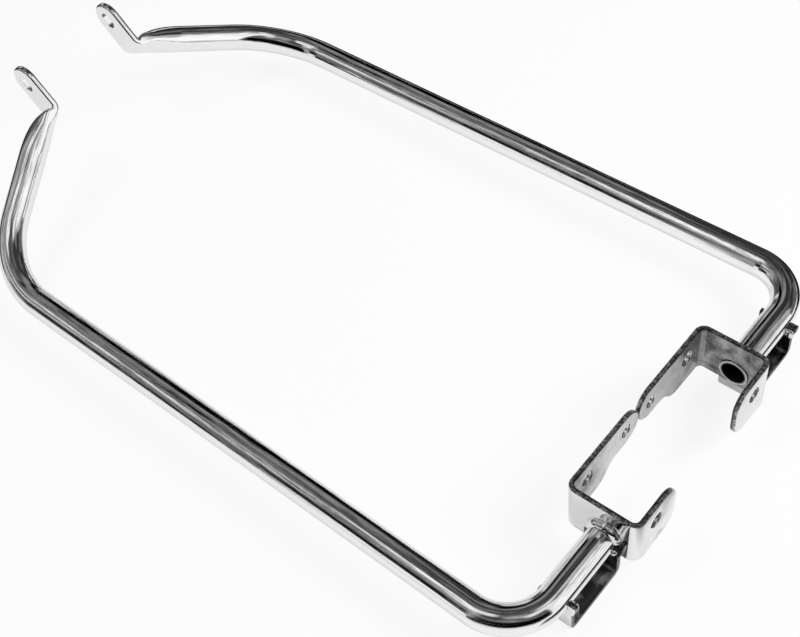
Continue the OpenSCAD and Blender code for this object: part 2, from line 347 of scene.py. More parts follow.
def slot_punch(line):
    """A stadium-shaped punch through the tab, a little longer than the tab is thick."""
    fold_end, tangent = [p[:2] for p in line if (p[1] - tab_dir).length < 1e-5][0]
    corner = fold_end + PRESS_DROP * tangent.cross(wide_dir)
    middle = corner + tab_dir * (SLOT_AT - fold_cut)
    half = (SLOT_LENGTH - SLOT_WIDTH) / 2
    outline = []
    for k in range(64):
        angle = 2 * pi * (k + 0.5) / 64
        shift = half if cos(angle) > 0 else -half
        outline.append((shift + SLOT_WIDTH / 2 * cos(angle), SLOT_WIDTH / 2 * sin(angle)))
    work = bmesh.new()
    rings = []
    for x in (-PUNCH_REACH, PUNCH_REACH):
        end = middle + Vector((x, 0, 0))
        rings.append([work.verts.new(end + tab_dir * a + wide_dir * b) for a, b in outline])
    for k in range(64):
        j = (k + 1) % 64
        work.faces.new((rings[0][k], rings[0][j], rings[1][j], rings[1][k]))
    work.faces.new(rings[0])
    work.faces.new(list(reversed(rings[1])))
    bmesh.ops.recalc_face_normals(work, faces=work.faces)
    return in_scene("slot_punch", as_mesh(work, "slot_punch"))


def sharpen(work, angle):
    """Smooth shading, with edges over the angle left crisp."""
    for face in work.faces:
        face.smooth = True
    for edge in work.edges:
        edge.smooth = len(edge.link_faces) == 2 and edge.calc_face_angle(0) < radians(angle)


def mirrored(mesh, name):
    """The left half's mesh from the right half's, with its faces turned back outwards."""
    copy = mesh.copy()
    copy.name = name
    work = bmesh.new()
    work.from_mesh(copy)
    bmesh.ops.transform(work, matrix=Matrix.Diagonal((-1, 1, 1, 1)), verts=work.verts)
    bmesh.ops.reverse_faces(work, faces=work.faces)
    work.to_mesh(copy)
    work.free()
    return copy


def place_piece(name, mesh, material, slot, *nodes):
    """Puts a finished mesh in the scene, on the one body, in place of its CAD nodes."""
    piece = in_scene(name, mesh)
    mesh.materials.clear()
    mesh.materials.append(material)
    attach(piece, "root")
    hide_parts(*nodes)


def shade_group(name, inputs, outputs):
    """An empty shader group with named number, colour or vector sockets."""
    group = bpy.data.node_groups.new(name, "ShaderNodeTree")
    kinds = {"value": "NodeSocketFloat", "colour": "NodeSocketColor", "vector": "NodeSocketVector"}
    for label, kind, default in inputs:
        socket = group.interface.new_socket(name=label, in_out="INPUT", socket_type=kinds[kind])
        if default is not None:
            socket.default_value = default
    for label, kind in outputs:
        group.interface.new_socket(name=label, in_out="OUTPUT", socket_type=kinds[kind])
    return group


def plating_group():
    """Unevenness of chrome plate: slow swells under the plate, polishing haze and fine dust."""
    group = shade_group(
        "plating",
        [("Vector", "vector", None), ("Swell size", "value", 40.0), ("Haze size", "value", 30.0),
         ("Smooth", "value", 0.04), ("Hazy", "value", 0.12), ("Speck", "value", 0.5)],
        [("Height", "value"), ("Roughness", "value"), ("Tint", "value")])
    w = Wires(group)
    given = w.node("NodeGroupInput").outputs
    swell = w.noise(given["Vector"], given["Swell size"], 2.0, 0.45)
    haze = w.noise(given["Vector"], given["Haze size"], 5.0, 0.6)
    cloud = w.ranged(haze, 0.42, 0.72, given["Smooth"], given["Hazy"])
    dust = w.node("ShaderNodeTexVoronoi", {"Vector": given["Vector"], "Scale": 900.0}, feature="F1")
    speck = w.times(w.math("LESS_THAN", dust.outputs["Distance"], 0.11), given["Speck"])
    tint = w.plus(w.minus(1.0, w.times(speck, 0.25)), w.times(w.minus(haze, 0.5), 0.10))
    rough = w.plus(cloud, w.times(speck, 0.2))
    w.node("NodeGroupOutput", {"Height": swell, "Roughness": rough, "Tint": tint})
    return group


plating = plating_group()


class Finish(Wires):
    """A new material, with the short ways that its nodes share."""

    def __init__(self, name):
        self.material = bpy.data.materials.new(name)
        self.material.use_nodes = True
        super().__init__(self.material.node_tree)
        self.surface = self.tree.nodes["Principled BSDF"]
        self.place = self.node("ShaderNodeTexCoord").outputs["Object"]

    def painted(self, name, out="Fac"):
        """What a named attribute of the mesh says."""
        return self.node("ShaderNodeAttribute", attribute_name=name).outputs[out]

    def plated(self, values):
        """The plating group, placed with this finish's own values."""
        return self.node("ShaderNodeGroup", {"Vector": self.place, **values}, node_tree=plating).outputs

    def tone(self, share, first, second):
        return self.node("ShaderNodeMix", {"Factor": share, 6: first, 7: second}, data_type="RGBA").outputs[2]

    def bump(self, height, strength, distance):
        inputs = {"Height": height, "Strength": strength, "Distance": distance}
        return self.node("ShaderNodeBump", inputs).outputs["Normal"]


def rail_chrome():
    """Mirror chrome of the bent tube, with faint lines where it was drawn and buffed along its length.

    The smears of the buffing are painted as darker streaks on the upward faces, as shade. The bore was never
    plated, and its colour is painted near black as the shade inside the tube."""
    w = Finish("rail_chrome")
    plate = w.plated({"Swell size": 14.0, "Haze size": 42.0, "Smooth": 0.03, "Hazy": 0.13, "Speck": 0.35})
    round_place = w.painted("round_place", "Vector")
    along = w.painted("along")
    bare_and_shaded = w.painted("bare_and_shaded")

    def drawn_out(per_metre, per_radius, detail, roughness):
        """Noise stretched along the tube."""
        far = w.joined(Z=w.times(along, per_metre))
        return w.noise(w.vector("ADD", far, w.scaled(round_place, per_radius)), 1.0, detail, roughness)

    lines = drawn_out(2.4, 7.0, 5.0, 0.62)
    smears = drawn_out(42.0, 10.0, 6.0, 0.72)
    buffed = w.ranged(smears, 0.48, 0.70, 0.0, 0.16)
    facing = w.parts(w.node("ShaderNodeNewGeometry").outputs["Normal"])["Z"]
    # Painted shade: the buffing smears darken only the faces that look up.
    shade_on_top = w.ranged(facing, 0.5, 0.85)
    top_streak_shade = w.times(w.ranged(smears, 0.42, 0.58, -0.85, 0.25), shade_on_top)
    shade = w.math("ADD", plate["Tint"], top_streak_shade, clamp=True)
    bright = w.tone(shade, (0.30, 0.302, 0.306, 1), (0.975, 0.975, 0.98, 1))
    height = w.plus(plate["Height"], w.times(lines, 0.11), w.times(smears, 0.012))
    w.feed(w.surface, {
        # Painted shade: the unplated bore is coloured near black for the shade inside the tube.
        "Base Color": w.tone(bare_and_shaded, bright, (0.008, 0.007, 0.006, 1)),
        "Metallic": w.minus(1.0, bare_and_shaded),
        "Specular IOR Level": 0.15,
        "Roughness": w.plus(plate["Roughness"], buffed, w.times(bare_and_shaded, 0.5)),
        "Normal": w.bump(height, 1.0, 0.0005),
    })
    return w.material


def tube_wall(outer, bore, line):
    """Skin and bore as one closed wall, with the bore's points marked as unplated and painted with shade, and
    a flat lip at the mouth.
    """
    work = bmesh.new()
    work.from_mesh(outer)
    skin_count = len(work.verts)
    work.from_mesh(bore)
    bare_and_shaded = work.verts.layers.float.new("bare_and_shaded")
    for vert in list(work.verts)[skin_count:]:
        vert[bare_and_shaded] = 1.0
    bmesh.ops.remove_doubles(work, verts=work.verts, dist=0.000002)
    mouth = [v for v in work.verts if abs(v.co.x - line[0][0].x) < 1e-5 and v.co.y < 0]
    mouth.sort(key=lambda v: atan2(v.co.z - TUBE_Z, v.co.y - TUBE_Y))
    outer_ring = [v for v in mouth if v[bare_and_shaded] == 0]
    inner_ring = [v for v in mouth if v[bare_and_shaded] > 0]
    for k in range(len(outer_ring)):
        j = (k + 1) % len(outer_ring)
        work.faces.new((outer_ring[k], outer_ring[j], inner_ring[j], inner_ring[k]))
    far_ends = [e for e in work.edges if len(e.link_faces) == 1]
    bmesh.ops.holes_fill(work, edges=far_ends, sides=0)
    bmesh.ops.recalc_face_normals(work, faces=work.faces)
    return as_mesh(work, "right_rail")


def make_rail():
    """The right rail as one closed mesh: outer skin, bore, lip at the rear end, slot in the tab."""
    line, press_start, tip_start = rail_line()
    tree = press_tree()
    values = {"Press start": press_start, "Tip start": tip_start}
    outer = run_tree(line_mesh(line), tree, values, "rail_skin")
    inside = [p for p in line if p[3] <= press_start + BORE_REACH * PRESS_RUN]
    values["Inset"] = TUBE_WALL
    bore = run_tree(line_mesh(inside), tree, values, "rail_bore")

    rail = in_scene("rail_blank", tube_wall(outer, bore, line))
    punch = slot_punch(line)
    cut = rail.modifiers.new("slot", "BOOLEAN")
    cut.operation = "DIFFERENCE"
    cut.solver = "EXACT"
    cut.object = punch
    mesh = plain_mesh(rail)
    bpy.data.objects.remove(punch)

    work = bmesh.new()
    work.from_mesh(mesh)
    sharpen(work, 32)
    work.to_mesh(mesh)
    work.free()
    mesh.name = "right_rail"
    return mesh


chrome = rail_chrome()
right_rail = make_rail()
place_piece("right_rail", right_rail, chrome, "tube_chrome", "right_tube")
place_piece("left_rail", mirrored(right_rail, "left_rail"), chrome, "tube_chrome", "left_tube")


# The two brackets, each cut flat from 4 mm steel plate, drilled, bent twice into a channel
# that opens inwards, and chromed. The long strap is at the front, the short lug behind it,
# and the web between them carries the tube.

PLATE = 0.004
PLATE_BEND = 0.008
PLATE_EDGE = 0.0009
STRAP_FRONT = 0.032
LUG_REAR = 0.026
PLATE_UP = 0.031
PLATE_DOWN = 0.0125
STRAP_REACH = 0.0835
STRAP_END = 0.015
STRAP_WIDE = 0.0365
LUG_REACH = 0.046
LUG_CORNER = 0.0145
TIP_HOLE = 0.0105
WEB_HOLE = 0.012
WEB_HOLE_IN = 0.0225
WEB_HOLE_LOW = 0.0012
JOINT_GAP = 0.0004

# The strap's lower edge steps down in a long S: its length for each unit of its depth, and how
# far its middle lies from where the wide part would start, in the same units.
STEP_LONG = 1.9
STEP_BACK = 0.65

# How much painted shade darkens the chrome inside the channel and on the walls of the holes, where it is also
# rougher, from 0 to 1.
CHANNEL_SHADE = 0.60
HOLE_SHADE = 0.30

plate_mid = PLATE_BEND - PLATE / 2
bend_run = plate_mid * pi / 2
strap_flat = STRAP_REACH - PLATE_BEND
web_flat = STRAP_FRONT + LUG_REAR - 2 * PLATE_BEND
lug_flat = LUG_REACH - PLATE_BEND
web_from = strap_flat + bend_run
lug_from = web_from + web_flat + bend_run


def arc(centre, radius, start, end, steps):
    """Points on an arc, angles in degrees."""
    points = []
    for k in range(steps + 1):
        angle = radians(start + (end - start) * k / steps)
        points.append((centre[0] + radius * cos(angle), centre[1] + radius * sin(angle)))
    return points


def bracket_outline():
    """Outline of the flat blank, s along the strip from the strap's tip, z from the tube's centre line."""
    strap_mid = PLATE_UP - STRAP_END
    strap_low = strap_mid - STRAP_END
    step = strap_low + PLATE_DOWN
    run = STEP_LONG * step
    radius = (run * run + step * step) / (4 * step)
    swing = degrees(2 * atan2(step, run))
    middle = STRAP_REACH - STRAP_WIDE - STEP_BACK * step
    narrow_at = middle - run / 2
    wide_at = middle + run / 2
    end = lug_from + lug_flat
    points = arc((STRAP_END, strap_mid), STRAP_END, 90, 270, 64)
    points += arc((narrow_at, strap_low - radius), radius, 90, 90 - swing, 16)
    points += arc((wide_at, radius - PLATE_DOWN), radius, 270 - swing, 270, 16)[1:]
    points += arc((end - LUG_CORNER, LUG_CORNER - PLATE_DOWN), LUG_CORNER, -90, 0, 32)
    points += arc((end - LUG_CORNER, PLATE_UP - LUG_CORNER), LUG_CORNER, 0, 90, 32)
    return points


def bracket_holes():
    """One hole at the strap's tip, one beside the web in the strap and in the lug, and the tube's seat."""
    strap_mid = PLATE_UP - STRAP_END
    beside_web = strap_mid - WEB_HOLE_LOW
    web_mid = web_from + STRAP_FRONT - PLATE_BEND
    return [
        arc((STRAP_END, strap_mid), TIP_HOLE / 2, 0, 360, 64)[:-1],
        arc((STRAP_REACH - WEB_HOLE_IN, beside_web), WEB_HOLE / 2, 0, 360, 64)[:-1],
        arc((web_mid, 0), TUBE_R + JOINT_GAP, 0, 360, 96)[:-1],
        arc((lug_from + WEB_HOLE_IN - PLATE_BEND, beside_web), WEB_HOLE / 2, 0, 360, 64)[:-1],
    ]


def cut_blank(outline, holes, thick, edge, inside):
    """A flat plate with softened edges: x along the strip, y up, z through the thickness.

    Where the channel's inside will be, the chrome is painted darker as shade and made rougher by the given
    share.
    The walls of the holes were drilled, so they are smoother than the sawn rims."""
    work = bmesh.new()
    rims = []
    for loop in [outline] + holes:
        verts = [work.verts.new((x, y, thick / 2)) for x, y in loop]
        rims += [work.edges.new((verts[k], verts[(k + 1) % len(verts)])) for k in range(len(verts))]
    bmesh.ops.triangle_fill(work, use_beauty=True, use_dissolve=False, edges=rims)
    made = bmesh.ops.extrude_face_region(work, geom=list(work.faces), use_keep_orig=True)
    fresh = [g for g in made["geom"] if isinstance(g, bmesh.types.BMVert)]
    bmesh.ops.translate(work, verts=fresh, vec=(0, 0, -thick))
    bmesh.ops.recalc_face_normals(work, faces=work.faces)
    corners = [e for e in work.edges if len(e.link_faces) == 2 and e.calc_face_angle(0) > radians(60)
               and abs(e.verts[0].co.z - e.verts[1].co.z) < 1e-6]
    bmesh.ops.bevel(work, geom=corners, offset=edge, segments=4, profile=0.5, affect="EDGES",
                    clamp_overlap=True)
    bmesh.ops.dissolve_degenerate(work, dist=1e-7, edges=work.edges)

    drilled = []
    for loop in holes:
        middle = Vector((sum(x for x, _ in loop), sum(y for _, y in loop), 0)) / len(loop)
        drilled.append((middle, (Vector(loop[0] + (0,)) - middle).length + edge))
    rim = work.verts.layers.float.new("rim")
    shade_and_dull = work.verts.layers.float.new("shade_and_dull")
    for vert in work.verts:
        on_wall = abs(vert.co.z) < thick / 2 - 0.0001
        spot = Vector((vert.co.x, vert.co.y, 0))
        vert[rim] = 1.0 if on_wall else 0.0
        # Share of painted shade, with rougher chrome, inside the channel and on the hole walls.
        vert[shade_and_dull] = inside if vert.co.z < 0 else 0.0
        if on_wall and any((spot - middle).length < reach for middle, reach in drilled):
            vert[rim] = 0.0
            vert[shade_and_dull] = HOLE_SHADE
    return work


def score(work, start, end, steps):
    """Cuts the blank across the strip so that it can be bent smoothly there."""
    for k in range(steps + 1):
        x = start + (end - start) * k / steps
        geom = list(work.verts) + list(work.edges) + list(work.faces)
        bmesh.ops.bisect_plane(work, geom=geom, dist=1e-7, plane_co=(x, 0, 0), plane_no=(1, 0, 0))


def bend_bracket(s, z, out):
    """A point of the bracket's blank where it lies once the blank is bent."""
    inner = -PLATE_BEND
    if s < strap_flat:
        place = (s - STRAP_REACH, STRAP_FRONT - PLATE / 2 + out)
    elif s < web_from:
        angle = pi / 2 - (s - strap_flat) / plate_mid
        reach = plate_mid + out
        place = (inner + reach * cos(angle), STRAP_FRONT - PLATE_BEND + reach * sin(angle))
    elif s < web_from + web_flat:
        place = (out - PLATE / 2, STRAP_FRONT - PLATE_BEND - (s - web_from))
    elif s < lug_from:
        angle = -(s - web_from - web_flat) / plate_mid
        reach = plate_mid + out
        place = (inner + reach * cos(angle), PLATE_BEND - LUG_REAR + reach * sin(angle))
    else:
        place = (inner - (s - lug_from), PLATE / 2 - LUG_REAR - out)
    return Vector((WEB_X + place[0], TUBE_Y + place[1], TUBE_Z + z))


def weigh_normals(mesh, name):
    """Lets the large flats keep their own normals, so that the plate reflects without ripples."""
    holder = in_scene(name, mesh)
    modifier = holder.modifiers.new("weigh", "WEIGHTED_NORMAL")
    modifier.keep_sharp = True
    modifier.weight = 100
    return plain_mesh(holder)


def bent_plate(work, bend, name):
    """Bends the blank, keeps its flat coordinates as a UV map, and shades it with crisp flats."""
    uv = work.loops.layers.uv.new("blank")
    for face in work.faces:
        for loop in face.loops:
            loop[uv].uv = (loop.vert.co.x, loop.vert.co.y)
    for vert in work.verts:
        vert.co = bend(vert.co.x, vert.co.y, vert.co.z)
    bmesh.ops.recalc_face_normals(work, faces=work.faces)
    sharpen(work, 50)
    return weigh_normals(as_mesh(work, name), name)


def plate_chrome():
    """Chrome over plate that was only brushed first, so the shine is softer and streaked.

    Sawn and ground rims are pitted. The inside of a channel and the walls of the holes are rougher and
    painted darker as shade, in mottled patches, the bracket's the more the deeper into the channel it lies.
    The clip's inside has the most painted shade, evenly along it."""
    w = Finish("plate_chrome")
    flat = w.node("ShaderNodeUVMap", uv_map="blank").outputs[0]
    rim = w.painted("rim")
    shade_and_dull = w.painted("shade_and_dull")
    plate = w.plated({"Swell size": 35.0, "Haze size": 60.0, "Smooth": 0.10, "Hazy": 0.24, "Speck": 0.5})

    stretch = w.node("ShaderNodeMapping", {"Vector": flat, "Scale": (60, 900, 1)}).outputs[0]
    brush = w.noise(stretch, 1.0, 6.0, 0.65)
    peel = w.noise(w.place, 380.0, 3.0, 0.6)
    pits = w.noise(w.place, 520.0, 4.0, 0.65)
    patch = w.noise(w.place, 75.0, 4.0, 0.6)
    from_tip = w.parts(flat)["X"]
    # Painted shade grows from the strap's tip deeper into the channel; inside the clip it is even and
    # strongest.
    deeper_shade = w.ranged(from_tip, 0.025, 0.078, 0.55, 1.5)
    in_clip = w.math("GREATER_THAN", shade_and_dull, 0.9)
    deeper_shade = w.between(in_clip, deeper_shade, 1.12)
    # Painted shade in mottled patches, scaled by the shade_and_dull share.
    mottled_shade = w.times(w.ranged(patch, 0.38, 0.60, 1.0, 0.62), shade_and_dull, deeper_shade)
    mottled_shade = w.math("MINIMUM", mottled_shade, 0.97)

    bright = w.tone(plate["Tint"], (0.42, 0.425, 0.435, 1), (0.93, 0.93, 0.935, 1))
    ground = w.ranged(pits, 0.44, 0.66, 0.95, 0.0)
    rimmed = w.tone(w.times(ground, rim), bright, (0.09, 0.09, 0.093, 1))
    rough = w.plus(plate["Roughness"], w.times(w.minus(brush, 0.5), 0.14), w.times(shade_and_dull, 0.18))
    height = w.plus(w.times(plate["Height"], 0.6), w.times(brush, 0.05), w.times(peel, 0.16),
                    w.times(pits, rim, 3.6))
    w.feed(w.surface, {
        # Painted shade darkens the base colour towards near black.
        "Base Color": w.tone(mottled_shade, rimmed, (0.022, 0.0215, 0.021, 1)),
        "Metallic": 1.0,
        "Roughness": rough,
        "Normal": w.bump(height, 0.7, 0.0006),
    })
    return w.material


satin = plate_chrome()
blank = cut_blank(bracket_outline(), bracket_holes(), PLATE, PLATE_EDGE, CHANNEL_SHADE)
score(blank, strap_flat, web_from, 20)
score(blank, web_from + web_flat, lug_from, 20)
right_bracket = bent_plate(blank, bend_bracket, "right_bracket")
place_piece("right_plate", right_bracket, satin, "plate_chrome", "right_bracket")
place_piece("left_plate", mirrored(right_bracket, "left_bracket"), satin, "plate_chrome", "left_bracket")


# The two clips, each a 27 mm wide strip of 4 mm steel bent into a shallow channel under the
# tube. The ends of the strip are notched to cradle the tube, and the inner one lies flat
# against the bracket's web. One horn of the left clip was trimmed lower by hand.

STRIP = 0.004
STRIP_BEND = 0.007
STRIP_EDGE = 0.0008
CLIP_LENGTH = 0.057
CLIP_DOWN = 0.0313
CLIP_REAR = 0.014
CLIP_FRONT = 0.013
EAR_R = 0.017
SADDLE_TOP = 0.18 * TUBE_R
SADDLE_ROOM = 0.00015
LEFT_TRIM = 0.0045

# How much painted shade darkens the chrome inside the clip and on the face of its inner end against the web,
# where it is also rougher, from 0 to 1.
CLIP_SHADE = 1.0
CLIP_END_SHADE = 0.85

strip_mid = STRIP_BEND - STRIP / 2
strip_run = strip_mid * pi / 2
flange_flat = CLIP_DOWN + SADDLE_TOP - STRIP_BEND
floor_from = flange_flat + strip_run
floor_flat = CLIP_LENGTH - 2 * STRIP_BEND
rise_from = floor_from + floor_flat + strip_run
clip_end = rise_from + flange_flat


def clip_outline(outer_trim):
    """Outline of the clip's flat blank: s along the strip from one saddle's top to the other's.

    The outer saddle's front horn may be trimmed lower."""

    def past(radius, height):
        """The angle, in degrees, at which a circle about the tube's middle is that high."""
        return degrees(atan2(height, sqrt(radius * radius - height * height)))

    notch = TUBE_R + SADDLE_ROOM
    neck = degrees(acos(CLIP_REAR / EAR_R))

    def end_points(across_to_s, trim):
        """From the front edge, round the notch, to the rear neck. Angles are from the front, up."""
        points = [(trim, CLIP_FRONT)]
        inner = arc((0, 0), notch, past(notch, SADDLE_TOP - trim), -180 - past(notch, SADDLE_TOP), 48)
        outer = arc((0, 0), EAR_R, 180 - past(EAR_R, SADDLE_TOP), 180 + neck, 16)
        points += [(SADDLE_TOP - z, y) for y, z in inner + outer]
        return [(across_to_s(s), y) for s, y in points]

    first = end_points(lambda s: s, 0)
    second = end_points(lambda s: clip_end - s, outer_trim)
    return first + list(reversed(second))


def bend_clip(s, y, out):
    """A point of the clip's blank where it lies once the strip is bent."""
    if s < flange_flat:
        place = (STRIP / 2 - out, SADDLE_TOP - s)
    elif s < floor_from:
        angle = pi + (s - flange_flat) / strip_mid
        reach = strip_mid + out
        place = (STRIP_BEND + reach * cos(angle), STRIP_BEND - CLIP_DOWN + reach * sin(angle))
    elif s < floor_from + floor_flat:
        place = (STRIP_BEND + s - floor_from, STRIP / 2 - CLIP_DOWN - out)
    elif s < rise_from:
        angle = 1.5 * pi + (s - floor_from - floor_flat) / strip_mid
        reach = strip_mid + out
        place = (CLIP_LENGTH - STRIP_BEND + reach * cos(angle), STRIP_BEND - CLIP_DOWN + reach * sin(angle))
    else:
        place = (CLIP_LENGTH - STRIP / 2 + out, STRIP_BEND - CLIP_DOWN + s - rise_from)
    return Vector((WEB_X + place[0], TUBE_Y + y, TUBE_Z + place[1]))


def make_clip(outer_trim, name):
    strip_blank = cut_blank(clip_outline(outer_trim), [], STRIP, STRIP_EDGE, CLIP_SHADE)
    shade_and_dull = strip_blank.verts.layers.float["shade_and_dull"]
    for vert in strip_blank.verts:
        # The face of the inner end, which lies against the web, gets painted shade too.
        if vert.co.z > 0 and vert.co.x < flange_flat:
            vert[shade_and_dull] = CLIP_END_SHADE
    score(strip_blank, flange_flat, floor_from, 16)
    score(strip_blank, floor_from + floor_flat, rise_from, 16)
    return bent_plate(strip_blank, bend_clip, name)


right_clip = make_clip(0, "right_clip")
left_clip = mirrored(make_clip(LEFT_TRIM, "left_start"), "left_clip")
place_piece("right_strap", right_clip, satin, "plate_chrome", "right_clip")
place_piece("left_strap", left_clip, satin, "plate_chrome", "left_clip")


# The weld beads, laid by hand and chromed over with the rest: one over the tube where it
# meets the web, and one under it in the crook of each saddle. Each is a row of overlapping
# lumps, and one stray lump sits on the clip's rear horn.

WEB_BEAD = 0.0043
SADDLE_BEAD = 0.0035
BEAD_SUNK = 0.0001

# Each bead: its place out from the web, which way it leans, its leg, the degrees round the tube
# between which it was laid, and its own number of lumps and seed.
BEADS = [
    (0.0, 1, WEB_BEAD, 13, 167, 5.0, 1.3),
    (STRIP, 1, SADDLE_BEAD, 186, 318, 4.0, 4.7),
    (CLIP_LENGTH - STRIP, -1, SADDLE_BEAD, 192, 318, 4.0, 8.1),
]
LUMP_AT = Vector((WEB_X + 0.0525, TUBE_Y - 0.0133, TUBE_Z - 0.0045))
LUMP_HALF = (0.0030, 0.0033, 0.0046)


def bead_tree():
    """A fillet swept round the tube, heaped up in lumps along its length."""
    tree = new_tree("weld_bead", [
        ("Tube radius", "NodeSocketFloat", TUBE_R),
        ("Leg", "NodeSocketFloat", WEB_BEAD),
        ("From", "NodeSocketFloat", 0.0),
        ("To", "NodeSocketFloat", pi),
        ("Lean", "NodeSocketFloat", 1.0),
        ("Lumps", "NodeSocketFloat", 12.0),
        ("Seed", "NodeSocketFloat", 1.0),
        ("Finish", "NodeSocketMaterial", None),
    ])
    w = Wires(tree)
    given = w.node("NodeGroupInput").outputs
    grid = w.node("GeometryNodeMeshGrid", {"Size X": 1.0, "Size Y": 1.0, "Vertices X": 160, "Vertices Y": 25})
    place = w.parts(w.node("GeometryNodeInputPosition").outputs[0])
    along = w.plus(place["X"], 0.5)
    across = w.plus(place["Y"], 0.5)
    angle = w.plus(given["From"], w.times(w.minus(given["To"], given["From"]), along))
    near_end = w.math("MINIMUM", along, w.minus(1.0, along))
    ends = w.math("SQRT", w.math("MULTIPLY", near_end, 22.0, clamp=True))
    beat = w.times(along, given["Lumps"])
    ripple = w.math("ABSOLUTE", w.math("SINE", w.times(beat, pi)))
    spot = w.joined(X=beat, Y=w.times(across, 2.0), Z=given["Seed"])
    chance = w.noise(spot, 0.8, 1.0)
    swell = w.plus(w.times(ripple, 0.06), w.times(chance, 0.10), 0.86)
    size = w.times(given["Leg"], ends, swell)
    turn = w.times(across, pi / 2)
    radial = w.plus(given["Tube radius"], w.times(size, w.math("COSINE", turn)))
    target = w.joined(X=w.times(size, w.math("SINE", turn), given["Lean"]),
                      Y=w.times(radial, w.math("COSINE", angle)),
                      Z=w.times(radial, w.math("SINE", angle)))
    w.settle(grid.outputs[0], target, given["Finish"])
    return tree


def bead_chrome():
    """Chromed weld metal: bright on the lumps, rougher and painted darker as shade in the hollows between
    them.
    """
    w = Finish("bead_chrome")
    lumps = w.noise(w.place, 120.0, 1.5, 0.45)
    w.feed(w.surface, {
        # Painted shade: the hollows of the lump pattern are coloured darker.
        "Base Color": w.tone(w.ranged(lumps, 0.35, 0.6), (0.70, 0.70, 0.70, 1), (0.92, 0.92, 0.925, 1)),
        "Metallic": 1.0,
        "Roughness": w.ranged(lumps, 0.3, 0.7, 0.22, 0.08),
        "Normal": w.bump(lumps, 0.15, 0.0006),
    })
    return w.material


def close_bead(part):
    """Closes the fillet's back, just under the tube's skin."""
    open_edges = [e for e in part.edges if len(e.link_faces) == 1]
    made = bmesh.ops.extrude_edge_only(part, edges=open_edges)
    fresh = [g for g in made["geom"] if isinstance(g, bmesh.types.BMVert)]
    sunk = TUBE_R - BEAD_SUNK
    for vert in fresh:
        angle = atan2(vert.co.z, vert.co.y)
        vert.co = Vector((0, sunk * cos(angle), sunk * sin(angle)))
    bmesh.ops.remove_doubles(part, verts=part.verts, dist=0.00001)
    bmesh.ops.recalc_face_normals(part, faces=part.faces)


def make_beads():
    """The right half's beads as one mesh, each closed along the tube and the plate it joins."""
    tree = bead_tree()
    work = bmesh.new()
    for x, lean, leg, start, end, lumps, seed in BEADS:
        values = {"Leg": leg, "From": radians(start), "To": radians(end), "Lean": float(lean),
                  "Lumps": lumps, "Seed": seed}
        part = bmesh.new()
        part.from_mesh(run_tree(bpy.data.meshes.new("bead_start"), tree, values, "bead"))
        close_bead(part)
        bmesh.ops.translate(part, verts=part.verts, vec=(WEB_X + x, TUBE_Y, TUBE_Z))
        work.from_mesh(as_mesh(part, "bead_part"))
    lump = bmesh.ops.create_icosphere(work, subdivisions=4, radius=1.0)["verts"]
    for vert in lump:
        wobble = 1 + 0.05 * sin(3 * vert.co.x + 4 * vert.co.z)
        vert.co = LUMP_AT + Vector([c * half for c, half in zip(vert.co, LUMP_HALF)]) * wobble
    for face in work.faces:
        face.smooth = True
    return as_mesh(work, "right_beads")


bead_finish = bead_chrome()
right_beads = make_beads()
place_piece("right_beads", right_beads, bead_finish, "weld_chrome", "right_welds")
place_piece("left_beads", mirrored(right_beads, "left_beads"), bead_finish, "weld_chrome", "left_welds")


# The studio: a white paper floor, a big soft light behind the camera on the right, a smaller
# one high on the left and dark surroundings that the chrome picks up as long streaks. The
# camera looks down on the pair from behind on the left.

VIEW_DOWN = radians(51.54)
VIEW_TURN = radians(44.47)
VIEW_ROLL = radians(-8.2)
VIEW_FAR = 1.0897
VIEW_POINT = Vector((-0.0199, 0.2262 + TUBE_Y, TUBE_Z))
VIEW_SENSOR = 36
VIEW_LENS = 1451.2 / 800 * VIEW_SENSOR


def add_camera():
    forward = Vector((sin(VIEW_TURN) * cos(VIEW_DOWN), cos(VIEW_TURN) * cos(VIEW_DOWN), -sin(VIEW_DOWN)))
    level = Vector((cos(VIEW_TURN), -sin(VIEW_TURN), 0))
    upright = level.cross(forward)
    right = level * cos(VIEW_ROLL) + upright * sin(VIEW_ROLL)
    up = upright * cos(VIEW_ROLL) - level * sin(VIEW_ROLL)
    data = bpy.data.cameras.new("camera")
    data.sensor_width = VIEW_SENSOR
    data.sensor_fit = "HORIZONTAL"
    data.lens = VIEW_LENS
    data.clip_start = 0.01
    camera = in_scene("camera", data)
    turn = Matrix((right, up, -forward)).transposed().to_4x4()
    camera.matrix_world = Matrix.Translation(VIEW_POINT - VIEW_FAR * forward) @ turn
    bpy.context.scene.camera = camera


def card_group():
    """Lays one card of light, or a black one, over what is already in the studio's surroundings."""
    group = shade_group(
        "studio_card",
        [("Way", "vector", None), ("Under", "value", 0.0), ("Middle", "vector", None),
         ("Across", "vector", None), ("Upright", "vector", None), ("Soft", "value", 0.1),
         ("Light", "value", 1.0)],
        [("Light", "value")])
    w = Wires(group)
    given = w.node("NodeGroupInput").outputs
    ahead = w.math("MAXIMUM", w.vector("DOT_PRODUCT", given["Way"], given["Middle"], "Value"), 0.001)

    def inside(side):
        off = w.math("ABSOLUTE", w.vector("DOT_PRODUCT", given["Way"], given[side], "Value"))
        room = w.minus(1.0, w.math("DIVIDE", off, ahead))
        return w.ranged(room, w.times(given["Soft"], -1.0), given["Soft"], way="SMOOTHSTEP")

    cover = w.times(inside("Across"), inside("Upright"))
    w.node("NodeGroupOutput", {"Light": w.between(cover, given["Under"], given["Light"])})
    return group


